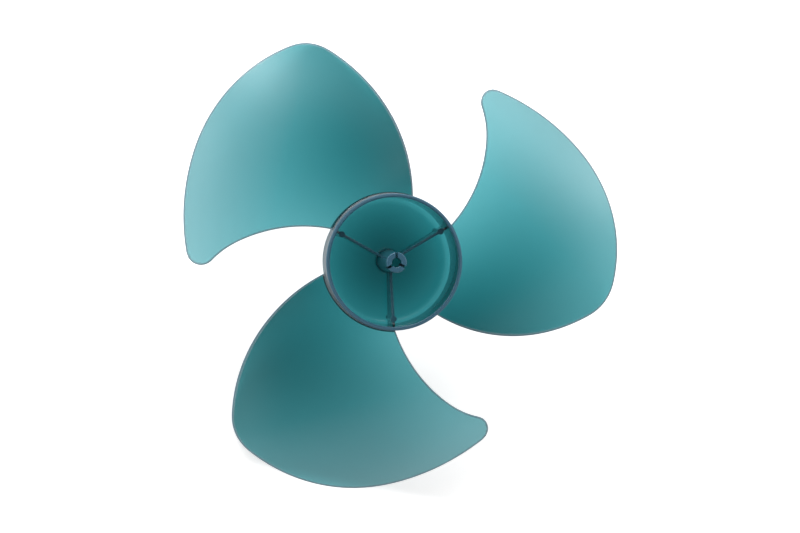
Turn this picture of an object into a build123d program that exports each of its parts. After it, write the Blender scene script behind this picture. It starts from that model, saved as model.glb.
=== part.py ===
from build123d import *
from math import cos, radians, sin, sqrt, tan
import os

# Axial fan impeller, moulded in one piece from a translucent styrene plastic.
#
# The hub is a cup that opens towards the motor. A tapered boss stands in it, its end split by
# three slots, and three thin ribs tie the boss to the cup. Three broad, forward-swept blades
# grow from the outside of the cup.
#
# Frame: Z is the shaft axis and points out of the cup, towards the motor. The origin is on the
# axis in the plane of the cup's rim. X runs along the middle of the first blade. Seen from +Z
# the impeller turns anticlockwise, so a blade's leading edge is on its +Y side.
# Lengths are in millimetres, angles in degrees.

# --- Hub cup ---
hub_rim_radius = 57.3
rim_wall = 3.1
hub_draft = 2.0             # outside of the cup narrows towards the nose by this angle
cup_draft = 0.7             # the same for the inside
cup_depth = 46.0            # rim to floor, at the foot of the wall
floor_wall = 2.8
nose_edge_radius = 8.0
cup_corner_bevel = 3.0       # inside, between wall and floor
rim_outer_bevel = 0.8
rim_inner_bevel = 0.4

# --- Boss and shaft bore ---
boss_height = 13.7          # above the rim plane
boss_end_radius = 8.45
boss_draft = 1.1
boss_foot_flare = 3.0       # where the boss leaves the floor
bore_diameter = 8.0
bore_lead_in = 0.5
bore_end_wall = 4.5         # solid plastic between the end of the bore and the nose
slot_count = 3
slot_width = 2.2
slot_depth = 12.0
boss_end_bevel = 0.6

# --- Ribs between boss and wall ---
rib_count = 3
rib_angle = 23.5            # of the first rib, from the first blade's middle
rib_thickness = 2.2
rib_top_at_wall = 13.5      # below the rim plane
rib_top_at_boss = 24.0
rib_land_end = 18.0         # radius where the level land beside the boss ends
pad_diameter = 5.2          # round pads that the ejector pins push on
pad_radius_from_axis = 48.2
pad_drop = 14.4             # below the rim plane

# --- Blades ---
blade_count = 3
sweep_radius = 200.0
root_depth = 2.0            # how far a blade's root reaches into the cup's wall

# Outline, seen along the axis. Each point lies a setback in from the sweep circle, at an angle
# from the blade's middle, positive towards the leading edge. The root points lie on the hub.
trailing_root_angle = -59.5
trailing_edge_radius = 143.3
corner_start_setback = 14.2
corner_start_angle = -23.0
corner_end_setback = 0.1
corner_end_angle = -14.0
outer_edge_setback = 9.6
outer_edge_angle = 20.9
horn_outer_setback = 28.4
horn_outer_angle = 49.5
horn_inner_setback = 48.7
horn_inner_angle = 51.5
leading_edge_setback = 69.9
leading_edge_angle = 44.2
leading_root_angle = 22.3

# Twist, camber and lean, from the hub's outside (root) to the sweep circle (tip).
root_height = -14.3         # middle of the root, from the rim plane
tip_droop = 27.6            # the tip lies this much further from the motor
root_pitch = 12.7
tip_pitch = 8.6
root_camber_radius = 360.0
tip_camber_radius = 158.0

# Thickness: thickest along the middle of the blade, thin at its edges.
root_thickness = 3.3
tip_thickness = 1.5
edge_thickness = 0.8
root_bevel = 2.0                # along both sides of a blade's root, where it leaves the cup
section_count = 5
section_trailing_reach = 84.0   # half-lines of a section past the outline, trailing side
section_leading_reach = 146.0   # and leading side
section_overrun = 6.0           # past the sweep circle and inside the hub


def polar(radius, angle):
    """Point at a radius and an angle from the middle of the blade."""
    return (radius * cos(radians(angle)), radius * sin(radians(angle)))


def taper(root_value, tip_value, distance):
    """Value that runs evenly from the hub's outside to the sweep circle."""
    share = (distance - hub_rim_radius) / (sweep_radius - hub_rim_radius)
    return root_value + (tip_value - root_value) * share


def camber_height(distance, across):
    """Height of the blade's middle surface, at a distance out along the blade's middle
    and a distance across it. Each section is an arc that is tilted by the pitch."""
    share = (distance - hub_rim_radius) / (sweep_radius - hub_rim_radius)
    middle = root_height - tip_droop * share * abs(share)
    pitch = radians(taper(root_pitch, tip_pitch, distance))
    camber_radius = 1 / taper(1 / root_camber_radius, 1 / tip_camber_radius, distance)
    run = across - camber_radius * sin(pitch)
    return middle - camber_radius * cos(pitch) + sqrt(camber_radius**2 - run**2)


# --- One blade, along X ---
section_start = hub_rim_radius - rim_wall - section_overrun * 2
section_end = sweep_radius + section_overrun
section_gap = (section_end - section_start) / (section_count - 1)
section_middle = (section_leading_reach - section_trailing_reach) / 2

with BuildPart() as blade:
    for section in range(section_count):
        distance = section_start + section * section_gap
        thickness = taper(root_thickness, tip_thickness, distance)
        back = camber_height(distance, -section_trailing_reach)
        middle = camber_height(distance, section_middle)
        front = camber_height(distance, section_leading_reach)
        with BuildSketch(Plane(origin=(distance, 0, 0), x_dir=(0, 1, 0), z_dir=(1, 0, 0))):
            with BuildLine():
                upper = ThreePointArc(
                    (-section_trailing_reach, back + edge_thickness / 2),
                    (section_middle, middle + thickness / 2),
                    (section_leading_reach, front + edge_thickness / 2),
                )
                lower = ThreePointArc(
                    (-section_trailing_reach, back - edge_thickness / 2),
                    (section_middle, middle - thickness / 2),
                    (section_leading_reach, front - edge_thickness / 2),
                )
                Line(upper @ 0, lower @ 0)
                Line(upper @ 1, lower @ 1)
            make_face()
    loft()
    with BuildSketch() as outline:
        with BuildLine():
            root_radius = hub_rim_radius - rim_wall - root_depth
            trailing_edge = RadiusArc(
                polar(root_radius, trailing_root_angle),
                polar(sweep_radius - corner_start_setback, corner_start_angle),
                -trailing_edge_radius,
            )
            corner = TangentArc(
                trailing_edge @ 1,
                polar(sweep_radius - corner_end_setback, corner_end_angle),
                tangent=trailing_edge % 1,
            )
            outer_edge = TangentArc(
                corner @ 1,
                polar(sweep_radius - outer_edge_setback, outer_edge_angle),
                tangent=corner % 1,
            )
            outer_run = TangentArc(
                outer_edge @ 1,
                polar(sweep_radius - horn_outer_setback, horn_outer_angle),
                tangent=outer_edge % 1,
            )
            horn = TangentArc(
                outer_run @ 1,
                polar(sweep_radius - horn_inner_setback, horn_inner_angle),
                tangent=outer_run % 1,
            )
            leading_run = TangentArc(
                horn @ 1,
                polar(sweep_radius - leading_edge_setback, leading_edge_angle),
                tangent=horn % 1,
            )
            leading_edge = TangentArc(
                leading_run @ 1, polar(root_radius, leading_root_angle), tangent=leading_run % 1
            )
            Line(leading_edge @ 1, trailing_edge @ 0)
        make_face()
    extrude(amount=sweep_radius, both=True, mode=Mode.INTERSECT)

# --- Hub, as profiles to the right of the axis, turned about it ---
hub_foot_radius = hub_rim_radius - cup_depth * tan(radians(hub_draft))
cup_rim_radius = hub_rim_radius - rim_wall
cup_foot_radius = cup_rim_radius - cup_depth * tan(radians(cup_draft))
nose_face = -(cup_depth + floor_wall)

# The profiles stand in the gap between two blades, so that the turned faces start clear of them.
gap_angle = (leading_root_angle + 360 / blade_count + trailing_root_angle) / 2
gap_plane = Plane.XZ.rotated((0, 0, gap_angle))

with BuildPart() as hub_outside:
    with BuildSketch(gap_plane) as hub_profile:
        with BuildLine():
            Line((0, 0), (hub_rim_radius, 0))
            Line((hub_rim_radius, 0), (hub_foot_radius, nose_face))
            Line((hub_foot_radius, nose_face), (0, nose_face))
            Line((0, nose_face), (0, 0))
        make_face()
        rim_corner = hub_profile.vertices().group_by(Axis.Y)[-1].sort_by(Axis.X)[-1]
        chamfer(rim_corner, rim_outer_bevel)
        nose_corner = hub_profile.vertices().group_by(Axis.Y)[0].sort_by(Axis.X)[-1]
        fillet(nose_corner, nose_edge_radius)
    revolve(axis=Axis.Z)

# The hollow of the cup is a solid of its own: a turned cup shape, less the ribs and the round
# pads that stand in it. Cut from the hub, it leaves ribs that end exactly at wall and floor.
with BuildPart() as hollow:
    with BuildSketch(gap_plane) as hollow_profile:
        with BuildLine():
            Line((0, 0), (cup_rim_radius + rim_inner_bevel, 0))
            Line((cup_rim_radius + rim_inner_bevel, 0), (cup_rim_radius, -rim_inner_bevel))
            Line((cup_rim_radius, -rim_inner_bevel), (cup_foot_radius, -cup_depth))
            Line((cup_foot_radius, -cup_depth), (0, -cup_depth))
            Line((0, -cup_depth), (0, 0))
        make_face()
        foot_corner = hollow_profile.vertices().group_by(Axis.Y)[0].sort_by(Axis.X)[-1]
        chamfer(foot_corner, cup_corner_bevel)
    revolve(axis=Axis.Z)
    for rib in range(rib_count):
        turn = rib_angle + rib * 360 / rib_count
        with BuildSketch(Plane.XZ.rotated((0, 0, turn))):
            Polygon(
                (0, nose_face),
                (0, -rib_top_at_boss),
                (rib_land_end, -rib_top_at_boss),
                (hub_rim_radius, -rib_top_at_wall),
                (hub_rim_radius, nose_face),
                align=None,
            )
        extrude(amount=rib_thickness / 2, both=True, mode=Mode.SUBTRACT)
    with BuildSketch(Plane.XY.offset(-pad_drop)):
        with PolarLocations(pad_radius_from_axis, rib_count, start_angle=rib_angle):
            Circle(pad_diameter / 2)
    extrude(amount=nose_face + pad_drop, mode=Mode.SUBTRACT)

# --- Boss: a turned cone with a flared foot ---
boss_foot = -(cup_depth + floor_wall / 2)
boss_foot_radius = boss_end_radius + (boss_height + cup_depth) * tan(radians(boss_draft))
bore_bottom = nose_face + bore_end_wall

with BuildPart() as boss:
    with BuildSketch(gap_plane) as boss_profile:
        with BuildLine():
            Line((0, boss_height), (boss_end_radius, boss_height))
            Line(
                (boss_end_radius, boss_height), (boss_foot_radius, boss_foot_flare - cup_depth)
            )
            Line(
                (boss_foot_radius, boss_foot_flare - cup_depth),
                (boss_foot_radius + boss_foot_flare, -cup_depth),
            )
            Line(
                (boss_foot_radius + boss_foot_flare, -cup_depth),
                (boss_foot_radius + boss_foot_flare, boss_foot),
            )
            Line((boss_foot_radius + boss_foot_flare, boss_foot), (0, boss_foot))
            Line((0, boss_foot), (0, boss_height))
        make_face()
        end_corner = boss_profile.vertices().group_by(Axis.Y)[-1].sort_by(Axis.X)[-1]
        chamfer(end_corner, boss_end_bevel)
    revolve(axis=Axis.Z)

# --- The impeller ---
def leaves_wall(edge):
    """Whether an edge runs on the drafted outside of the cup, as a blade's root does."""
    point = edge.position_at(0.5)
    wall_radius = hub_rim_radius + point.Z * tan(radians(hub_draft))
    return abs(sqrt(point.X**2 + point.Y**2) - wall_radius) < root_bevel / 10


with BuildPart() as impeller:
    add(hub_outside.part)
    with PolarLocations(0, blade_count):
        add(blade.part)
    root_lines = impeller.edges().filter_by(GeomType.BSPLINE).filter_by(leaves_wall)
    chamfer(root_lines.sort_by(SortBy.LENGTH)[-2 * blade_count :], root_bevel)
    add(hollow.part, mode=Mode.SUBTRACT)
    add(boss.part)
    with BuildSketch(Plane.XY.offset(boss_height)):
        Circle(bore_diameter / 2)
    extrude(amount=bore_bottom - boss_height, mode=Mode.SUBTRACT)
    boss_end_circles = impeller.edges().filter_by(GeomType.CIRCLE).group_by(Axis.Z)[-1]
    chamfer(boss_end_circles.sort_by(SortBy.RADIUS)[0], bore_lead_in)
    slot_angle = rib_angle + 180 / slot_count
    with BuildSketch(Plane.XY.offset(boss_height)):
        with PolarLocations(boss_foot_radius / 2, slot_count, start_angle=slot_angle):
            Rectangle(boss_foot_radius, slot_width)
    extrude(amount=-slot_depth, mode=Mode.SUBTRACT)

size = impeller.part.bounding_box().size
print(f"impeller: {size.X:.1f} x {size.Y:.1f} x {size.Z:.1f} mm, {impeller.part.volume:.0f} mm3")
os.makedirs("parts", exist_ok=True)
impeller.part.label = "impeller"
export_step(impeller.part, "parts/impeller.step")
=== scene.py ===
# %% [markdown]
# # An axial fan impeller in translucent teal styrene
#
# The real thing is one injection moulding: a hub cup with a split boss in its middle, three thin
# ribs that tie the boss to the cup, and three broad, forward-swept blades.
#
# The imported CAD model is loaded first. It is the frame: it says where everything is, in metres.
# The visible impeller is then modelled again in Blender, because a clear plastic shows every
# facet, edge and thickness of its mesh, and the CAD mesh is only fine enough for its size.

from math import asin, atan2, cos, degrees, exp, pi, radians, sin, sqrt, tan

import bmesh
import bpy
from mathutils import Matrix, Vector
from mathutils.kdtree import KDTree


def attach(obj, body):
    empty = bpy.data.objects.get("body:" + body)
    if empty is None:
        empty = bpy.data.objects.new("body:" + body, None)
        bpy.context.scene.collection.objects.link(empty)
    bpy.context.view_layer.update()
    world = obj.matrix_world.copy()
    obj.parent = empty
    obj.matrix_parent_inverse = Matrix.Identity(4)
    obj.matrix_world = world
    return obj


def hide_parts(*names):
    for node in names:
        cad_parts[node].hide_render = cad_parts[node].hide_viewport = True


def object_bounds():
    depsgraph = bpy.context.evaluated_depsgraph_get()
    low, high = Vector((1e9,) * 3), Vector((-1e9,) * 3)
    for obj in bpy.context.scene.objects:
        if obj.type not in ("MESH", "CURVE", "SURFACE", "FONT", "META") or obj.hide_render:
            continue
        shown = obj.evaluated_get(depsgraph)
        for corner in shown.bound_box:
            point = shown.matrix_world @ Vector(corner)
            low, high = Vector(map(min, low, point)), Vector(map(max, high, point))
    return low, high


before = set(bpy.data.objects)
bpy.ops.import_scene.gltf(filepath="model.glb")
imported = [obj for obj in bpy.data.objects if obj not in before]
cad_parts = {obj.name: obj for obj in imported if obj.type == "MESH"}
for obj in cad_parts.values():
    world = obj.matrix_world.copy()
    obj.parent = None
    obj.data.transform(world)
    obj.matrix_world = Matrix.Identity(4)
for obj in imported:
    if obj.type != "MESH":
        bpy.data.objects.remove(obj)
CAD_BOX = [list(corner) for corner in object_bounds()]
MM = 0.001                              # sizes below are in millimetres, Blender's in metres
print("CAD nodes:", len(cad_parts), "and box in metres:", CAD_BOX)

# %% [markdown]
# ## Helpers
#
# Four habits keep the operators predictable. Everything is deselected before a step, because an
# operator acts on all that is selected. A new primitive becomes the active object, and gets its
# name at once. A finished piece has its place in its mesh, so its transform is applied. What was
# spun or thickened has points on top of each other, so they are welded and its faces turned out.


# %% Selecting and finishing
def start_clean():
    """Leaves object mode with nothing selected."""
    if bpy.context.object and bpy.context.object.mode != "OBJECT":
        bpy.ops.object.mode_set(mode="OBJECT")
    bpy.ops.object.select_all(action="DESELECT")


def pick(*pieces):
    """Selects these objects, with the first one active."""
    start_clean()
    for piece in pieces:
        piece.select_set(True)
    bpy.context.view_layer.objects.active = pieces[0]
    return pieces[0]


def place_in_mesh(piece):
    """Applies the object's place, turn and scale to its mesh."""
    pick(piece)
    bpy.ops.object.transform_apply(location=True, rotation=True, scale=True)


def use_modifier(piece, kind, **settings):
    """Adds one modifier with its settings and applies it."""
    pick(piece)
    modifier = piece.modifiers.new(kind.lower(), kind)
    for name, value in settings.items():
        setattr(modifier, name, value)
    bpy.ops.object.modifier_apply(modifier=modifier.name)


def weld(piece, distance):
    """Merges points closer together than this distance, in metres."""
    pick(piece)
    bpy.ops.object.mode_set(mode="EDIT")
    bpy.ops.mesh.select_all(action="SELECT")
    bpy.ops.mesh.remove_doubles(threshold=distance)
    bpy.ops.object.mode_set(mode="OBJECT")


def face_outwards(piece):
    """Turns all faces of a closed piece outwards."""
    pick(piece)
    bpy.ops.object.mode_set(mode="EDIT")
    bpy.ops.mesh.select_all(action="SELECT")
    bpy.ops.mesh.normals_make_consistent(inside=False)
    bpy.ops.object.mode_set(mode="OBJECT")


# %% [markdown]
# ## Camera
#
# The impeller lies with its cup upwards and the camera looks down on it, a few degrees off the
# axis, so that a little of the cup's outside shows on its left and the blades' twist reads.
# It is placed first, because it says how much detail each surface needs.

# %% Camera
PIXEL = 0.8333 * MM                     # size of one pixel of the frame, at the rim
FRAME_WIDTH = 800 * PIXEL
CAMERA_DISTANCE = 2513 * PIXEL
CAMERA_ASIDE = 5.42 * PIXEL
CAMERA_UP = -4.36 * PIXEL
CAMERA_ROLL = -8.0                      # degrees, and so are the two leans off the axis
CAMERA_LEAN_SIDE = -8.01
CAMERA_LEAN_UP = -1.67
SENSOR_WIDTH = 36

start_clean()
bpy.ops.object.camera_add()
camera = bpy.context.object
camera.name = "studio_camera"
camera.data.sensor_width = SENSOR_WIDTH
camera.data.lens = SENSOR_WIDTH * CAMERA_DISTANCE / FRAME_WIDTH
camera.matrix_world = (
    Matrix.Rotation(radians(CAMERA_ROLL), 4, "Z")
    @ Matrix.Rotation(radians(CAMERA_LEAN_SIDE), 4, "Y")
    @ Matrix.Rotation(radians(CAMERA_LEAN_UP), 4, "X")
    @ Matrix.Translation((CAMERA_ASIDE, CAMERA_UP, CAMERA_DISTANCE))
)
bpy.context.scene.camera = camera
print("camera lens %.1f mm, %.2f m away" % (camera.data.lens, CAMERA_DISTANCE))

# %% [markdown]
# ## The turned hub and boss
#
# Everything round about the shaft is one turned shape: nose, outside wall, rim, inside wall,
# floor, boss and bore. It could be several cylinders joined by booleans, but one profile spun
# about the axis gives clean rings of quads and lets every corner have its moulded round.
#
# The profile is a list of runs. Each run goes to a corner, and the corner has a radius, so the
# drawing stays as short as a turner's drawing. The profile is extruded point by point, then spun.
# Walls that a moulding tool has to let go of lean a little, which is called draft.

# %% Sizes of the hub, in millimetres and degrees
HUB_RIM_RADIUS = 57.3
RIM_WALL = 3.1
HUB_DRAFT = 2.0
CUP_DRAFT = 0.7
CUP_DEPTH = 46.0
FLOOR_WALL = 2.8
FLOOR_AT_WALL = 0.4                     # the floor is this much thicker beside the wall
FLOOR_AT_BOSS = 2.4                     # and this much beside the boss
BOSS_HEIGHT = 13.7
BOSS_END_RADIUS = 8.45
BOSS_DRAFT = 1.1
BORE_RADIUS = 4.0
BORE_END_WALL = 4.5
SPIN_STEPS = 192

nose_face = -(CUP_DEPTH + FLOOR_WALL)
hub_foot = HUB_RIM_RADIUS - CUP_DEPTH * tan(radians(HUB_DRAFT))
cup_rim = HUB_RIM_RADIUS - RIM_WALL
cup_foot = cup_rim - CUP_DEPTH * tan(radians(CUP_DRAFT))
boss_foot = BOSS_END_RADIUS + (BOSS_HEIGHT + CUP_DEPTH) * tan(radians(BOSS_DRAFT))

# radius from the axis, height, round of the corner, and points along the run that ends there
HUB_PROFILE = [
    (0.0, nose_face, 0.0, 1),
    (hub_foot, nose_face, 8.0, 5),
    (HUB_RIM_RADIUS, 0.0, 1.1, 14),
    (cup_rim, 0.0, 0.7, 1),
    (cup_foot, -CUP_DEPTH + FLOOR_AT_WALL, 4.5, 12),
    (boss_foot, -CUP_DEPTH + FLOOR_AT_BOSS, 2.5, 8),
    (BOSS_END_RADIUS, BOSS_HEIGHT, 0.8, 14),
    (BORE_RADIUS, BOSS_HEIGHT, 0.4, 1),
    (BORE_RADIUS, nose_face + BORE_END_WALL, 0.8, 12),
    (0.0, nose_face + BORE_END_WALL, 0.0, 2),
]
print("hub: %.1f mm high to the boss's end" % (BOSS_HEIGHT - nose_face))


# %% Profile points
def rounded_profile(corners, steps_per_quarter=7):
    """Points of a profile, its corners rounded and its straight runs divided evenly."""
    points = [Vector(corners[0][:2])]
    for before, here, after in zip(corners, corners[1:], corners[2:] + [None]):
        corner = Vector(here[:2])
        arc = [corner]
        if after and here[2]:
            arrive = (corner - Vector(before[:2])).normalized()
            leave = (Vector(after[:2]) - corner).normalized()
            turn = arrive.angle(leave)
            setback = here[2] * tan(turn / 2)
            centre = corner + (leave - arrive).normalized() * here[2] / cos(turn / 2)
            first = corner - arrive * setback - centre
            spin = 1 if arrive.cross(leave) > 0 else -1
            count = max(2, round(steps_per_quarter * turn / (pi / 2)))
            arc = [
                centre + Matrix.Rotation(spin * turn * step / count, 2) @ first
                for step in range(count + 1)
            ]
        last = points[-1]
        run = [last.lerp(arc[0], step / here[3]) for step in range(1, here[3])]
        points += run + arc
    return points


hub_points = rounded_profile(HUB_PROFILE)
print("hub profile:", len(hub_points), "points")

# %% Extrude the profile and spin it
WELD_DISTANCE = 0.002 * MM

start_clean()
bpy.ops.mesh.primitive_plane_add(size=1 * MM)
hub = bpy.context.object
hub.name = "hub"
bpy.ops.object.mode_set(mode="EDIT")
bpy.ops.mesh.select_all(action="SELECT")
bpy.ops.mesh.merge(type="CENTER")
bpy.ops.transform.translate(value=(hub_points[0].x * MM, 0, hub_points[0].y * MM))
for here, there in zip(hub_points, hub_points[1:]):
    step = (there - here) * MM
    bpy.ops.mesh.extrude_region_move(TRANSFORM_OT_translate={"value": (step.x, 0, step.y)})
bpy.ops.mesh.select_all(action="SELECT")
bpy.ops.mesh.spin(steps=SPIN_STEPS, angle=2 * pi, center=(0, 0, 0), axis=(0, 0, 1))
weld(hub, WELD_DISTANCE)
face_outwards(hub)
hub_size = [round(length / MM, 2) for length in hub.dimensions]
print("hub:", len(hub.data.polygons), "faces, box", hub_size)

# %% [markdown]
# ## Ribs and ejector pads
#
# Three thin ribs tie the boss to the wall. Each has a level land beside the boss and then climbs
# to the wall, and near its outer end stands a round pad, where a pin pushed the moulding out of
# its tool. A rib could be an extruded drawing, but a cube is quicker: it is scaled to the rib's
# box, cut once where the land ends, and its top corners are set to the rib's height there.
# A small bevel gives the moulded round that catches the light along the top.

# %% One rib
RIB_COUNT = 3
RIB_ANGLE = 23.5
RIB_THICKNESS = 2.2
RIB_START = 6.5                         # inside the boss's wall, clear of the bore
RIB_END = 55.4                          # inside the cup's wall
RIB_TOP_AT_WALL = -13.5
RIB_TOP_AT_BOSS = -24.0
RIB_LAND_END = 18.0
RIB_ROUND = 0.45
IN_FLOOR = -(CUP_DEPTH + FLOOR_WALL / 2)


def rib_top(distance):
    """Height of a rib's top at a distance from the axis."""
    share = max(0.0, (distance - RIB_LAND_END) / (HUB_RIM_RADIUS - RIB_LAND_END))
    return RIB_TOP_AT_BOSS + share * (RIB_TOP_AT_WALL - RIB_TOP_AT_BOSS)


def add_rib(name):
    """A rib along +X, with its land, its slope and its rounded edges."""
    start_clean()
    height = RIB_TOP_AT_BOSS - IN_FLOOR
    bpy.ops.mesh.primitive_cube_add(
        size=1,
        location=((RIB_START + RIB_END) / 2 * MM, 0, (IN_FLOOR + height / 2) * MM),
        scale=((RIB_END - RIB_START) * MM, RIB_THICKNESS * MM, height * MM),
    )
    rib = bpy.context.object
    rib.name = name
    place_in_mesh(rib)
    bpy.ops.object.mode_set(mode="EDIT")
    bpy.ops.mesh.select_all(action="SELECT")
    bpy.ops.mesh.bisect(plane_co=(RIB_LAND_END * MM, 0, 0), plane_no=(1, 0, 0))
    bpy.ops.object.mode_set(mode="OBJECT")
    for corner in rib.data.vertices:
        if corner.co.z > (IN_FLOOR + height / 2) * MM:
            corner.co.z = rib_top(corner.co.x / MM) * MM
    use_modifier(rib, "BEVEL", width=RIB_ROUND * MM, segments=3, limit_method="ANGLE")
    return rib


rib = add_rib("rib")
rib_size = [round(length / MM, 2) for length in rib.dimensions]
print("rib:", len(rib.data.polygons), "faces, box", rib_size)

# %% Its pad
PAD_RADIUS = 2.6
PAD_FROM_AXIS = 48.2
PAD_TOP = -14.4
PAD_ROUND = 0.3
PAD_SIDES = 48


def add_pad(name):
    """The round ejector pad that stands on a rib, along +X."""
    start_clean()
    height = PAD_TOP - IN_FLOOR
    bpy.ops.mesh.primitive_cylinder_add(
        vertices=PAD_SIDES,
        radius=PAD_RADIUS * MM,
        depth=height * MM,
        location=(PAD_FROM_AXIS * MM, 0, (IN_FLOOR + height / 2) * MM),
    )
    pad = bpy.context.object
    pad.name = name
    place_in_mesh(pad)
    use_modifier(pad, "BEVEL", width=PAD_ROUND * MM, segments=2, limit_method="ANGLE")
    return pad


pad = add_pad("pad")
use_modifier(rib, "BOOLEAN", object=pad, operation="UNION", solver="EXACT")
bpy.data.objects.remove(pad)
print("rib with its pad:", len(rib.data.polygons), "faces")


# %% All ribs
def turned_copies(piece, count, first_angle):
    """Turns a piece about the shaft axis, copies it round, and joins the copies in one mesh."""
    copies = [piece]
    for number in range(1, count):
        pick(piece)
        bpy.ops.object.duplicate()
        copies.append(bpy.context.object)
    for number, copy in enumerate(copies):
        copy.rotation_euler.z = radians(first_angle + number * 360 / count)
        place_in_mesh(copy)
    pick(*copies)
    bpy.ops.object.join()
    return bpy.context.object


ribs = turned_copies(rib, RIB_COUNT, RIB_ANGLE)
print("ribs:", len(ribs.data.polygons), "faces")

# %% [markdown]
# ## Slots in the boss
#
# Three slots split the boss's end, so that it can close on the shaft. A slot could be modelled
# in the boss's mesh, by insetting and pushing faces in. Cutting with a thin box is the better way
# here, as it leaves sharp walls inside and follows the turned end.

# %% Slot cutters
SLOT_COUNT = 3
SLOT_WIDTH = 2.2
SLOT_DEPTH = 12.0
SLOT_ANGLE = RIB_ANGLE + 180 / SLOT_COUNT
SLOT_START = 2.5
SLOT_END = 13.0
SLOT_TOP = BOSS_HEIGHT + 2
SLOT_ROUND = 0.5

start_clean()
slot_bottom = BOSS_HEIGHT - SLOT_DEPTH
bpy.ops.mesh.primitive_cube_add(
    size=1,
    location=((SLOT_START + SLOT_END) / 2 * MM, 0, (slot_bottom + SLOT_TOP) / 2 * MM),
    scale=((SLOT_END - SLOT_START) * MM, SLOT_WIDTH * MM, (SLOT_TOP - slot_bottom) * MM),
)
cutter = bpy.context.object
cutter.name = "slot_cutter"
place_in_mesh(cutter)
use_modifier(cutter, "BEVEL", width=SLOT_ROUND * MM, segments=3, limit_method="ANGLE")
cutters = turned_copies(cutter, SLOT_COUNT, SLOT_ANGLE)
print("slot cutters:", len(cutters.data.polygons), "faces")

# %% [markdown]
# ## The blade
#
# This is the shape that takes the most skill. A blade is thin, its outline is a chain of arcs that
# flow into each other, it is tilted more at the root than at the tip, and it is curved across
# like a sail. Lofting is the CAD way. In Blender a grid is better, because its rows can follow
# the outline, and smooth shading then follows the blade.
#
# First comes the outline, as arcs: each leaves in the direction in which the last one arrived.

# %% Outline of a blade, in millimetres and degrees, along +X
SWEEP_RADIUS = 200.0
BLADE_COUNT = 3
OUTLINE_ROOT = 52.2                     # where the drawing of the outline starts and ends
ROOT_IN_WALL = 55.2                     # the blade itself ends inside the cup's wall
TRAILING_ROOT_ANGLE = -59.5
TRAILING_EDGE_RADIUS = 143.3
# distance from the axis and angle of the ends of the arcs, from the trailing edge round
OUTLINE_POINTS = [
    (185.7, -23.0),
    (199.7, -14.0),
    (190.3, 20.9),
    (171.5, 49.5),
    (151.2, 51.5),
    (130.0, 44.2),
    (OUTLINE_ROOT, 22.3),
]
POINT_STEP = 0.4


def polar(radius, angle):
    """Point at a radius and an angle from the middle of the blade."""
    return Vector((radius * cos(radians(angle)), radius * sin(radians(angle))))


def arc_points(start, end, heading):
    """Points of the arc that leaves start with this heading and arrives at end."""
    chord = end - start
    half_turn = atan2(heading.cross(chord), heading.dot(chord))
    count = max(4, round(chord.length / POINT_STEP))
    points = []
    for step in range(1, count + 1):
        share = step / count
        reach = chord.length * sin(half_turn * share) / sin(half_turn)
        points.append(start + Matrix.Rotation(half_turn * share, 2) @ heading * reach)
    return points, Matrix.Rotation(2 * half_turn, 2) @ heading


start = polar(OUTLINE_ROOT, TRAILING_ROOT_ANGLE)
chord = polar(*OUTLINE_POINTS[0]) - start
half_turn = asin(chord.length / 2 / TRAILING_EDGE_RADIUS)
heading = Matrix.Rotation(-half_turn, 2) @ chord.normalized()
arcs = []
for corner in OUTLINE_POINTS:
    points, heading = arc_points(start, polar(*corner), heading)
    arcs.append(points)
    start = points[-1]
print("blade outline:", sum(len(points) for points in arcs), "points")

# %% [markdown]
# The outline is dealt into three sides: trailing edge, outer edge and leading edge, which meet in
# the middle of the rounded corner and in the middle of the horn. The fourth side is the root,
# inside the cup's wall. A grid between four curved sides is a Coons patch: each point mixes
# the points across from it on the four sides.

# %% The four sides
ROOT_STEPS = 200

corner_middle = len(arcs[1]) // 2
horn_middle = len(arcs[4]) // 2
trailing_side = [p for p in arcs[0] if p.length > ROOT_IN_WALL] + arcs[1][:corner_middle]
outer_side = arcs[1][corner_middle - 1 :] + arcs[2] + arcs[3] + arcs[4][:horn_middle]
leading_side = arcs[4][horn_middle - 1 :] + arcs[5] + arcs[6]
leading_side = [p for p in leading_side if p.length > ROOT_IN_WALL][::-1]
root_from = degrees(atan2(trailing_side[0].y, trailing_side[0].x))
root_to = degrees(atan2(leading_side[0].y, leading_side[0].x))
root_side = [
    polar(ROOT_IN_WALL, root_from + (root_to - root_from) * step / ROOT_STEPS)
    for step in range(ROOT_STEPS + 1)
]
root_side[0] = trailing_side[0]
root_side[-1] = leading_side[0]
OUTLINE = trailing_side + outer_side[1:] + leading_side[::-1][1:]
print("outline without its root:", len(OUTLINE), "points")


# %% Along a side
def lengths_along(points):
    """Running length at each point of a side."""
    lengths = [0.0]
    for here, there in zip(points, points[1:]):
        lengths.append(lengths[-1] + (there - here).length)
    return lengths


def at_shares(points, shares):
    """Points of a side at these shares of its length, in rising order."""
    lengths = lengths_along(points)
    found = []
    at = 0
    for share in shares:
        wanted = share * lengths[-1]
        while at < len(points) - 2 and lengths[at + 1] < wanted:
            at += 1
        gap = lengths[at + 1] - lengths[at]
        found.append(points[at].lerp(points[at + 1], (wanted - lengths[at]) / gap))
    return found


four_sides = (root_side, trailing_side, outer_side, leading_side)
print("sides in mm:", [round(lengths_along(side)[-1]) for side in four_sides])

# %% [markdown]
# Rows crowd together at the edges, where the plastic is rounded off within half a millimetre,
# and at the root, where it flares into the cup. In the open blade they lie about 3 mm apart.

# %% Rows of the grid
# distances from the edge and from the root, in millimetres
EDGE_ROWS = [0.0, 0.04, 0.16, 0.34, 0.56, 0.9, 1.6, 3.0, 5.2]
ROOT_ROWS = [0.0, 0.8, 1.35, 1.6, 1.9, 2.3, 2.8, 3.4, 4.4, 6.0]
ACROSS_CELLS = 48
OUTWARD_CELLS = 44
ACROSS_LENGTH = 150.0                   # typical, to turn the rows' distances into shares
OUTWARD_LENGTH = 150.0

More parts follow.
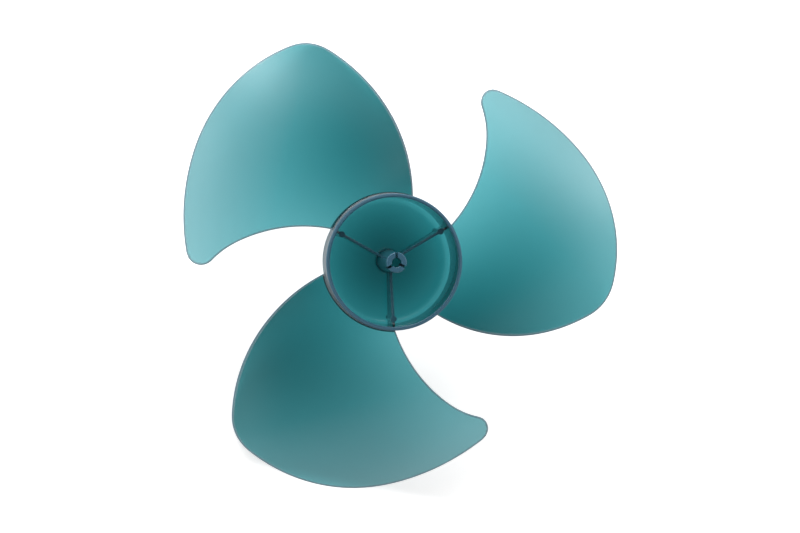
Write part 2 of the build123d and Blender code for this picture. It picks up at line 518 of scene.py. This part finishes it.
edge_shares = [row / ACROSS_LENGTH for row in EDGE_ROWS]
open_from, open_to = edge_shares[-1], 1 - edge_shares[-1]
across_shares = edge_shares[:-1]
across_shares += [
    open_from + (open_to - open_from) * step / ACROSS_CELLS for step in range(ACROSS_CELLS + 1)
]
across_shares += [1 - share for share in edge_shares[-2::-1]]

outward_shares = [row / OUTWARD_LENGTH for row in ROOT_ROWS[:-1]]
open_from = ROOT_ROWS[-1] / OUTWARD_LENGTH
outward_shares += [
    open_from + (open_to - open_from) * step / OUTWARD_CELLS for step in range(OUTWARD_CELLS + 1)
]
outward_shares += [1 - share for share in edge_shares[-2::-1]]
print("grid:", len(across_shares), "by", len(outward_shares), "points")

# %% [markdown]
# The same law as a fan designer's gives each point its height: across the blade every section is
# an arc, tilted by the pitch, and from root to tip pitch, arc and height change evenly.

# %% Height of the blade
ROOT_HEIGHT = -14.3
TIP_DROOP = 27.6
ROOT_PITCH = 12.7                       # degrees
TIP_PITCH = 8.6
ROOT_CAMBER_RADIUS = 360.0
TIP_CAMBER_RADIUS = 158.0


def span_share(distance):
    """Share of the way from the hub's outside, 0, to the sweep circle, 1."""
    return (distance - HUB_RIM_RADIUS) / (SWEEP_RADIUS - HUB_RIM_RADIUS)


def taper(root_value, tip_value, distance):
    """Value that runs evenly from the hub's outside to the sweep circle."""
    return root_value + (tip_value - root_value) * span_share(distance)


def camber_height(distance, across):
    """Height of the blade's middle surface."""
    share = span_share(distance)
    middle = ROOT_HEIGHT - TIP_DROOP * share * abs(share)
    pitch = radians(taper(ROOT_PITCH, TIP_PITCH, distance))
    camber_radius = 1 / taper(1 / ROOT_CAMBER_RADIUS, 1 / TIP_CAMBER_RADIUS, distance)
    run = across - camber_radius * sin(pitch)
    return middle - camber_radius * cos(pitch) + sqrt(camber_radius**2 - run**2)


print("middle of a blade: %.1f mm at the hub" % camber_height(HUB_RIM_RADIUS, 0))
print("middle of a blade: %.1f mm at the tip" % camber_height(SWEEP_RADIUS, 0))

# %% [markdown]
# An even sheet would look evenly tinted, and a real blade doesn't: it is thickest on its trailing
# side beside the hub, where it carries its load, and thins toward the tip and the leading side.
# Its thickness across is a bell curve. From root to tip the bell gets lower and wider, and its
# middle moves in from the trailing side. Since the dye is in the plastic, this is what tints it.

# %% Thickness of the blade
ROOT_THICKNESS = 4.6
TIP_THICKNESS = 1.85
EDGE_THICKNESS = 1.35                   # far from the bell's middle
THINNING_POWER = 1.5                    # over 1, so most of the thinning is beside the hub
MOST_IN_WALL = 1.1                      # limit of the bell's growth inside the wall
ROOT_THICKEST_ACROSS = -110.0           # from the blade's middle, toward its trailing edge
TIP_THICKEST_ACROSS = -25.0
ROOT_BELL_WIDTH = 110.0
TIP_BELL_WIDTH = 145.0
EDGE_ROUND = 0.55
ROOT_FLARE = 2.0


def round_off(distance, radius):
    """From 0 at the edge of a half-round to 1 where it is full."""
    if distance >= radius:
        return 1.0
    return sqrt(max(0.0, 1 - (1 - distance / radius) ** 2))


def blade_thickness(point, height, edge_distance):
    """Thickness of the blade: a bell across, rounded at the edges, flared into the cup."""
    inward = min(MOST_IN_WALL, max(0.0, 1 - span_share(point.x)))
    most = TIP_THICKNESS + (ROOT_THICKNESS - TIP_THICKNESS) * inward**THINNING_POWER
    width = taper(ROOT_BELL_WIDTH, TIP_BELL_WIDTH, point.x)
    thickest = taper(ROOT_THICKEST_ACROSS, TIP_THICKEST_ACROSS, point.x)
    bell = EDGE_THICKNESS
    bell += (most - EDGE_THICKNESS) * exp(-(((point.y - thickest) / width) ** 2))
    wall_distance = point.length - (HUB_RIM_RADIUS + height * tan(radians(HUB_DRAFT)))
    flare = ROOT_FLARE * (1 - round_off(max(0.0, wall_distance), ROOT_FLARE))
    return (bell + 2 * flare) * round_off(edge_distance, EDGE_ROUND)


# %% [markdown]
# The grid's points are worked out before there is a mesh. Each also gets its distance to the
# outline, which tells where the plastic is rounded off.


# %% Points of the grid
def edge_distances(points):
    """Distance of each point to the nearest place on the outline, in millimetres."""
    tree = KDTree(len(OUTLINE))
    for number, point in enumerate(OUTLINE):
        tree.insert((point.x, point.y, 0), number)
    tree.balance()
    found = []
    for point in points:
        number = tree.find((point.x, point.y, 0))[1]
        near = OUTLINE[number]
        best = (point - near).length
        for other in (number - 1, number + 1):
            if 0 <= other < len(OUTLINE):
                side = OUTLINE[other] - near
                share = min(1, max(0, (point - near).dot(side) / side.length_squared))
                best = min(best, (point - near - side * share).length)
        found.append(best)
    return found


def coons_points():
    """Grid points between the four sides, row by row from the root outward."""
    root = at_shares(root_side, across_shares)
    outer = at_shares(outer_side, across_shares)
    trailing = at_shares(trailing_side, outward_shares)
    leading = at_shares(leading_side, outward_shares)
    rows = []
    for v, back, front in zip(outward_shares, trailing, leading):
        for u, low, high in zip(across_shares, root, outer):
            corners = (1 - v) * ((1 - u) * root[0] + u * root[-1])
            corners = corners + v * ((1 - u) * outer[0] + u * outer[-1])
            rows.append((1 - v) * low + v * high + (1 - u) * back + u * front - corners)
    return rows


grid_points = coons_points()
distances = edge_distances(grid_points)
print("farthest from the outline: %.1f mm" % max(distances))

# %% [markdown]
# The grid primitive has the right number of cells. Its points are put in place, each gets the
# thickness there as a weight, and Solidify grows the blade by that weight to both sides. At the
# outline the weight is nothing, so both sides meet in a rounded edge.

# %% One blade
SOLIDIFY_MOST = 8.0                     # thickness at full weight, more than any point needs

start_clean()
columns, rows = len(across_shares), len(outward_shares)
bpy.ops.mesh.primitive_grid_add(x_subdivisions=columns - 1, y_subdivisions=rows - 1, size=1)
blade = bpy.context.object
blade.name = "blade"
weights = blade.vertex_groups.new(name="thickness")
for vertex in blade.data.vertices:
    column = round((vertex.co.x + 0.5) * (columns - 1))
    row = round((vertex.co.y + 0.5) * (rows - 1))
    number = row * columns + column
    point = grid_points[number]
    height = camber_height(point.x, point.y)
    vertex.co = Vector((point.x, point.y, height)) * MM
    thickness = blade_thickness(point, height, distances[number])
    weights.add([vertex.index], thickness / SOLIDIFY_MOST, "REPLACE")
use_modifier(
    blade, "SOLIDIFY", thickness=SOLIDIFY_MOST * MM, offset=0, vertex_group="thickness"
)
weld(blade, WELD_DISTANCE)
face_outwards(blade)
print("blade:", len(blade.data.polygons), "faces")

# %% All blades
blades = turned_copies(blade, BLADE_COUNT, 0)
print("blades:", len(blades.data.polygons), "faces")

# %% [markdown]
# ## One moulding
#
# The real impeller is one piece, and a clear plastic would show a surface buried in another.
# Separate parts that just touch would be quicker, but a ray would cross plastic twice between
# them. So they are joined by exact booleans in one closed skin. Weighted normals then keep the
# wall's shading calm where the blades grow out of it.

# %% Join
SKIN_WELD_DISTANCE = 0.001 * MM         # finer, so that the booleans' short edges stay
SMOOTH_ANGLE = 38                       # degrees, and a corner sharper than this stays sharp
FLAT_FACE_WEIGHT = 60                   # over 50, large faces keep their direction

for part, operation in ((ribs, "UNION"), (cutters, "DIFFERENCE"), (blades, "UNION")):
    use_modifier(hub, "BOOLEAN", object=part, operation=operation, solver="EXACT")
    bpy.data.objects.remove(part)
impeller = hub
impeller.name = "impeller_moulding"
weld(impeller, SKIN_WELD_DISTANCE)
bpy.ops.object.shade_smooth_by_angle(angle=radians(SMOOTH_ANGLE))
use_modifier(impeller, "WEIGHTED_NORMAL", keep_sharp=True, weight=FLAT_FACE_WEIGHT)

skin = bmesh.new()
skin.from_mesh(impeller.data)
open_edges = sum(1 for edge in skin.edges if not edge.is_manifold)
print("impeller: %d faces, %d open edges" % (len(skin.faces), open_edges))
print("impeller: %.0f mm3 of plastic" % (skin.calc_volume() / MM**3))
skin.free()

# %% [markdown]
# ### The line along a blade's edge
#
# A dyed sheet shows its edge as a thin dark line, because light that comes out there has run
# a long way inside it. The dye alone draws that line too faintly, so it is painted on as painted
# shade. It could be a strip of faces with its own material, but the dye's volume wants one
# material on the skin.
# So each point of the mesh gets a number, 1 at the outline and 0 a little way in, which the
# plastic reads. It is worked out after the join, when all the points are there.

# %% Edge line
EDGE_LINE = 1.3                         # how far in from the outline the line reaches, in mm
CLEAR_OF_WALL = 0.5                     # there is no line on the hub itself

edge_line = impeller.data.attributes.new("edge_line", "FLOAT", "POINT")
skin_points = [Vector(vertex.co.xy) / MM for vertex in impeller.data.vertices]
to_each_blade = []
for number in range(BLADE_COUNT):
    turn_back = Matrix.Rotation(-2 * pi * number / BLADE_COUNT, 2)
    to_each_blade.append(edge_distances([turn_back @ point for point in skin_points]))
nearest = [min(found) for found in zip(*to_each_blade)]
for number, (point, distance) in enumerate(zip(skin_points, nearest)):
    if point.length > HUB_RIM_RADIUS + CLEAR_OF_WALL:
        edge_line.data[number].value = max(0.0, 1 - distance / EDGE_LINE)
print("edge line:", sum(1 for item in edge_line.data if item.value > 0), "points")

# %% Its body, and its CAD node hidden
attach(impeller, "root")
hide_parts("impeller")

# %% [markdown]
# ## Tinted styrene
#
# The plastic is a clear styrene copolymer with a dye all through it, moulded in a polished tool.
# So its colour isn't on its surface: it comes from how far light travels inside, pale where the
# blade is thin and deep where it meets the hub. It could be a colour ramp over the blade, but
# absorption in the volume gives it by itself, from any side, and stays right when a thickness
# changes. Red light is lost more than twice as fast as green and blue, which turns thin plastic
# pale turquoise and thick plastic dark teal.


# %% Colours and nodes
def linear(hex_colour):
    """A hex sRGB colour as the linear red, green, blue and alpha that shaders use."""
    values = [int(hex_colour[i : i + 2], 16) / 255 for i in (1, 3, 5)]
    return [v / 12.92 if v <= 0.04045 else ((v + 0.055) / 1.055) ** 2.4 for v in values] + [1]


def add_node(tree, kind, settings=None, values=None, links=None):
    """Adds a shader node with its settings, its input values and its input links."""
    node = tree.nodes.new(kind)
    for name, value in (settings or {}).items():
        setattr(node, name, value)
    for name, value in (values or {}).items():
        node.inputs[name].default_value = value
    for name, output in (links or {}).items():
        tree.links.new(output, node.inputs[name])
    return node


SMOOTH_STEP = {"interpolation_type": "SMOOTHSTEP"}

# %% Clear plastic with a dye in it
# A styrene copolymer bends light a little more than window glass, with an IOR of 1.57. To the
# eye that is a bright line of shine along every round.
STYRENE_IOR = 1.57
DYE_DENSITY = 1190                      # per metre: 1 mm lets through exp(-1.19) of the red
DYE_COLOUR = (0.000, 0.566, 0.580, 1)   # the share of that loss that each colour is spared

styrene = bpy.data.materials.new("tinted_styrene")
styrene.use_nodes = True
tree = styrene.node_tree
surface = tree.nodes["Principled BSDF"]
surface.inputs["IOR"].default_value = STYRENE_IOR
dye = add_node(
    tree, "ShaderNodeVolumeAbsorption", None, {"Color": DYE_COLOUR, "Density": DYE_DENSITY}
)
tree.links.new(dye.outputs["Volume"], tree.nodes["Material Output"].inputs["Volume"])
place = add_node(tree, "ShaderNodeTexCoord").outputs["Object"]
for name, spared in zip(("red", "green", "blue"), DYE_COLOUR):
    print("%s left through 2 mm: %.2f" % (name, exp(-2 * MM * DYE_DENSITY * (1 - spared))))

# %% [markdown]
# ### Haze toward the horns
#
# Toward the horns and the outer leading edges the plastic is slightly milky: a little of the
# light is scattered at its skin instead of passing through. A gradient texture could make that,
# but it gives no length in metres. A dot product measures how far a point lies along a direction,
# here from the shaft toward a horn. There are three horns, so the largest of three counts.

# %% Haze
HAZE_DIRECTION = 38.7                   # degrees from the middle of a blade to its horn
HAZE_FROM = 105 * MM
HAZE_TO = 190 * MM
HAZE_MOST = 0.18                        # share of the light that the milkiest skin scatters

reaches = []
for number in range(BLADE_COUNT):
    angle = radians(HAZE_DIRECTION + number * 360 / BLADE_COUNT)
    reach = add_node(
        tree,
        "ShaderNodeVectorMath",
        {"operation": "DOT_PRODUCT"},
        {1: (cos(angle), sin(angle), 0)},
        {0: place},
    )
    reaches.append(reach.outputs["Value"])
farthest = reaches[0]
for reach in reaches[1:]:
    farthest = add_node(
        tree, "ShaderNodeMath", {"operation": "MAXIMUM"}, None, {0: farthest, 1: reach}
    ).outputs["Value"]
clear = add_node(
    tree,
    "ShaderNodeMapRange",
    None,
    {1: HAZE_FROM, 2: HAZE_TO, 3: 1.0, 4: 1 - HAZE_MOST},
    {0: farthest},
).outputs["Result"]
print("haze: from %.0f to %.0f mm, up to %.2f" % (HAZE_FROM / MM, HAZE_TO / MM, HAZE_MOST))

# %% [markdown]
# ### Thick and upright parts
#
# The rim, the ribs, the boss and the wall stand on edge, so light comes up through them along
# a path many times their thickness. Their ends show a dull slate blue, and little is seen
# through them. The slate of the ribs and the boss is also painted lighter, as painted light
# where the cup's walls shade them, and it darkens the boss's foot as painted shade. They could
# have materials of their own, but the dye's volume wants one material on the whole skin. So each
# is found by its height and by its distance from the axis, which a mask turns into 0 or 1, with
# a soft step between.

# %% Where the ribs, the boss and the wall are
# The colour starts low enough to darken the boss's foot too: painted shade there.
RIB_FROM = -43.4 * MM                   # height where their colour starts, just over the floor
RIB_FULL = -41.5 * MM                   # and where it is full
CUP_INSIDE = 51 * MM                    # closer to the axis only ribs and boss stand up
CUP_OUTSIDE = 53 * MM
WALL_MIDDLE = 56.6 * MM                 # radius of the drafted outside wall
WALL_SPREAD = 1.2 * MM                  # and how far it leans to either side of that
WALL_SHARE = 0.6                        # the wall gets this much of the ribs' colour

height = add_node(tree, "ShaderNodeSeparateXYZ", None, None, {0: place}).outputs["Z"]
flat_place = add_node(
    tree, "ShaderNodeVectorMath", {"operation": "MULTIPLY"}, {1: (1, 1, 0)}, {0: place}
).outputs["Vector"]
from_axis = add_node(
    tree, "ShaderNodeVectorMath", {"operation": "LENGTH"}, None, {0: flat_place}
).outputs["Value"]
above_floor = add_node(
    tree, "ShaderNodeMapRange", SMOOTH_STEP, {1: RIB_FROM, 2: RIB_FULL}, {0: height}
).outputs["Result"]
in_cup = add_node(
    tree, "ShaderNodeMapRange", None, {1: CUP_OUTSIDE, 2: CUP_INSIDE}, {0: from_axis}
).outputs["Result"]
in_rib = add_node(
    tree, "ShaderNodeMath", {"operation": "MULTIPLY"}, None, {0: above_floor, 1: in_cup}
).outputs["Value"]
on_wall = add_node(
    tree,
    "ShaderNodeMath",
    {"operation": "COMPARE"},
    {1: WALL_MIDDLE, 2: WALL_SPREAD},
    {0: from_axis},
).outputs["Value"]
wall_share = add_node(
    tree, "ShaderNodeMath", {"operation": "MULTIPLY"}, {1: WALL_SHARE}, {0: on_wall}
).outputs["Value"]
in_slate_and_painted_light = add_node(
    tree, "ShaderNodeMath", {"operation": "MAXIMUM"}, None, {0: in_rib, 1: wall_share}
).outputs["Value"]

# %% Where the ends are
RIM_FROM = -2.5 * MM                    # the rim's top is at 0
RIM_FULL = -0.5 * MM
BOSS_FROM = 8 * MM
BOSS_FULL = 13.4 * MM

at_rim = add_node(
    tree, "ShaderNodeMapRange", SMOOTH_STEP, {1: RIM_FROM, 2: RIM_FULL}, {0: height}
).outputs["Result"]
in_wall = add_node(
    tree, "ShaderNodeMapRange", None, {1: CUP_INSIDE, 2: CUP_OUTSIDE}, {0: from_axis}
).outputs["Result"]
in_rim = add_node(
    tree, "ShaderNodeMath", {"operation": "MULTIPLY"}, None, {0: at_rim, 1: in_wall}
).outputs["Value"]
in_boss_end = add_node(
    tree, "ShaderNodeMapRange", SMOOTH_STEP, {1: BOSS_FROM, 2: BOSS_FULL}, {0: height}
).outputs["Result"]
in_end = add_node(
    tree, "ShaderNodeMath", {"operation": "MAXIMUM"}, None, {0: in_rim, 1: in_boss_end}
).outputs["Value"]
in_painted_edge_shade = add_node(tree, "ShaderNodeAttribute", {"attribute_name": "edge_line"}).outputs["Fac"]
print("masks:", len(tree.nodes), "nodes so far")

# %% [markdown]
# Three masks are laid over each other: ribs and wall, ends, and edge line. Each mixes its own
# colour in and takes some of the clearness away. Clearness is the shader's transmission weight,
# the share of light that passes the skin and isn't scattered by it. The plain skin is nearly
# white, with a breath of blue, as it tints the light only a little: the dye inside does the rest.

# %% Colour and clearness
PLAIN_COLOUR = "#f0f8ff"
# mask, colour, and how clear it stays
THICK_PARTS = [
    # slate of ribs, boss and wall, partly painted light that makes up for the cup's shade
    (in_slate_and_painted_light, "#437c90", 0.3),
    (in_end, "#4a7891", 0.2),
    # painted shade along the blades' outline
    (in_painted_edge_shade, "#24708a", 0.1),
]
# A mix node has sockets for numbers, vectors and colours under one name, so its colour sockets
# are told apart by number.
MIX_SHARE, MIX_UNDER, MIX_OVER, MIX_RESULT = 0, 6, 7, 2

colour = None
for mask, hex_colour, clear_there in THICK_PARTS:
    mix = add_node(
        tree,
        "ShaderNodeMix",
        {"data_type": "RGBA"},
        {MIX_UNDER: linear(PLAIN_COLOUR), MIX_OVER: linear(hex_colour)},
        {MIX_SHARE: mask},
    )
    if colour:
        tree.links.new(colour, mix.inputs[MIX_UNDER])
    colour = mix.outputs[MIX_RESULT]
    kept_clear = add_node(
        tree, "ShaderNodeMapRange", None, {3: 1.0, 4: clear_there}, {0: mask}
    ).outputs["Result"]
    clear = add_node(
        tree, "ShaderNodeMath", {"operation": "MULTIPLY"}, None, {0: clear, 1: kept_clear}
    ).outputs["Value"]
tree.links.new(colour, surface.inputs["Base Color"])
tree.links.new(clear, surface.inputs["Transmission Weight"])
print("thick parts:", len(THICK_PARTS), "masks")

# %% [markdown]
# ### The moulded skin
#
# A polished tool gives a glossy skin, but never quite an even one. An even roughness would look
# like glass, and a bump would look like frost. So only the roughness changes, in soft clouds
# about 12 mm wide, because a polished skin has no grain. The hub's outside wall is satin: it
# shows an even tone, and no sharp picture of the blades and the table.

# %% Gloss
CLOUD_SIZE = 12 * MM                    # width of one cloud, so there are 1 / 0.012 per metre
GLOSSIEST = 0.07                        # typical of polished plastic
DULLEST = 0.11
CLOUD_FROM = 0.3                        # the noise hardly goes past these two
CLOUD_TO = 0.7
SATIN = 0.7

clouds = add_node(
    tree,
    "ShaderNodeTexNoise",
    None,
    {"Scale": 1 / CLOUD_SIZE, "Detail": 3.0, "Roughness": 0.55},
    {0: place},
).outputs["Fac"]
gloss = add_node(
    tree,
    "ShaderNodeMapRange",
    None,
    {1: CLOUD_FROM, 2: CLOUD_TO, 3: GLOSSIEST, 4: DULLEST},
    {0: clouds},
).outputs["Result"]
roughness = add_node(
    tree, "ShaderNodeMix", {"data_type": "FLOAT"}, {3: SATIN}, {0: on_wall, 2: gloss}
).outputs[0]
tree.links.new(roughness, surface.inputs["Roughness"])
impeller.data.materials.clear()
impeller.data.materials.append(styrene)
print("tinted styrene:", len(tree.nodes), "nodes")

# %% [markdown]
# ## The table
#
# The impeller lies on a white card that glows, as on a light table, so that the clear plastic has
# light behind it. Lamps alone could light a plain card, but then dark shadows lie under the
# blades. How deep a blade looks depends on the light under it: light from below crosses it once,
# and light from above crosses it twice, down to the card and back. So the glow falls off toward
# one blade, which looks deepest, and rises again past its tip, where the open card stays white.

# %% White card
CARD_SIZE = 8.0                         # metres, so its edge is far out of view
CARD_GAP = 0.2 * MM                     # the impeller doesn't quite touch it
CARD_COLOUR = "#f6f6f6"
CARD_ROUGHNESS = 0.9                    # uncoated card hardly shines
CARD_SPECULAR = 0.2

start_clean()
bpy.ops.mesh.primitive_plane_add(size=CARD_SIZE, location=(0, 0, CAD_BOX[0][2] - CARD_GAP))
floor = bpy.context.object
floor.name = "white_card"
place_in_mesh(floor)
card = bpy.data.materials.new("white_card")
card.use_nodes = True
paper = card.node_tree.nodes["Principled BSDF"]
paper.inputs["Base Color"].default_value = linear(CARD_COLOUR)
paper.inputs["Roughness"].default_value = CARD_ROUGHNESS
paper.inputs["Specular IOR Level"].default_value = CARD_SPECULAR
paper.inputs["Emission Color"].default_value = linear("#ffffff")
floor.data.materials.append(card)
print("card: %.0f m wide, at height %.1f mm" % (CARD_SIZE, floor.data.vertices[0].co.z / MM))

# %% Glow of the card
# direction on the table in degrees, where along it the glow starts and ends to change, and the
# glow before and after
GLOWS = [
    (252, 30 * MM, 120 * MM, 1.05, 0.6),
    (250, 188 * MM, 204 * MM, 0.0, 0.45),
]

on_card = add_node(card.node_tree, "ShaderNodeTexCoord").outputs["Object"]
glows = []
for azimuth, change_from, change_to, glow_before, glow_after in GLOWS:
    along = add_node(
        card.node_tree,
        "ShaderNodeVectorMath",
        {"operation": "DOT_PRODUCT"},
        {1: (cos(radians(azimuth)), sin(radians(azimuth)), 0)},
        {0: on_card},
    ).outputs["Value"]
    glow = add_node(
        card.node_tree,
        "ShaderNodeMapRange",
        SMOOTH_STEP,
        {1: change_from, 2: change_to, 3: glow_before, 4: glow_after},
        {0: along},
    )
    glows.append(glow.outputs["Result"])
all_glow = add_node(
    card.node_tree, "ShaderNodeMath", {"operation": "ADD"}, None, {0: glows[0], 1: glows[1]}
).outputs["Value"]
card.node_tree.links.new(all_glow, paper.inputs["Emission Strength"])
print("glow: %.2f at most, %.2f under the deep blade" % (GLOWS[0][3], GLOWS[0][4]))

# %% [markdown]
# ## Soft studio light
#
# Glossy blades mirror every lamp, and an area lamp draws its corners on them. So the lamps are
# soft round patches of the world's light, so low that the blades send their mirror images aside
# and not up, and it is dim overhead, which keeps the cup deep. A patch is the dot product of
# a direction with the lamp's direction, raised to a power: the higher the power, the tighter.

# %% The room
ROOM_STRENGTH = 0.45
OVERHEAD_STRENGTH = 0.1
ROOM_FROM = 66                          # degrees from straight up, and lower the room is bright
OVERHEAD_TO = 40                        # and higher than this it is dim

bpy.context.scene.view_settings.view_transform = "Standard"
world = bpy.data.worlds.new("soft_room")
bpy.context.scene.world = world
world.use_nodes = True
sky = world.node_tree
direction = add_node(sky, "ShaderNodeTexCoord").outputs["Generated"]
upward = add_node(
    sky, "ShaderNodeVectorMath", {"operation": "DOT_PRODUCT"}, {1: (0, 0, 1)}, {0: direction}
).outputs["Value"]
room = add_node(
    sky,
    "ShaderNodeMapRange",
    SMOOTH_STEP,
    {
        1: cos(radians(ROOM_FROM)),
        2: cos(radians(OVERHEAD_TO)),
        3: ROOM_STRENGTH,
        4: OVERHEAD_STRENGTH,
    },
    {0: upward},
).outputs["Result"]
print("room: %.2f at the horizon, %.2f overhead" % (ROOM_STRENGTH, OVERHEAD_STRENGTH))

# %% Lamps
LAMP_TIGHTNESS = 20                     # a lamp then fades to half 15 degrees from its middle
# azimuth and elevation in degrees, and strength
LAMPS = [
    (90, 27, 5.5),
    (135, 30, 2.0),
    (5, 28, 2.0),
]

for azimuth, elevation, strength in LAMPS:
    toward = (
        cos(radians(azimuth)) * cos(radians(elevation)),
        sin(radians(azimuth)) * cos(radians(elevation)),
        sin(radians(elevation)),
    )
    facing = add_node(
        sky, "ShaderNodeVectorMath", {"operation": "DOT_PRODUCT"}, {1: toward}, {0: direction}
    ).outputs["Value"]
    in_front = add_node(
        sky, "ShaderNodeMath", {"operation": "MAXIMUM"}, {1: 0.0}, {0: facing}
    ).outputs["Value"]
    patch = add_node(
        sky, "ShaderNodeMath", {"operation": "POWER"}, {1: LAMP_TIGHTNESS}, {0: in_front}
    ).outputs["Value"]
    room = add_node(
        sky, "ShaderNodeMath", {"operation": "MULTIPLY_ADD"}, {1: strength}, {0: patch, 2: room}
    ).outputs["Value"]
sky.nodes["Background"].inputs["Color"].default_value = linear("#ffffff")
sky.links.new(room, sky.nodes["Background"].inputs["Strength"])
print("lamps:", len(LAMPS))
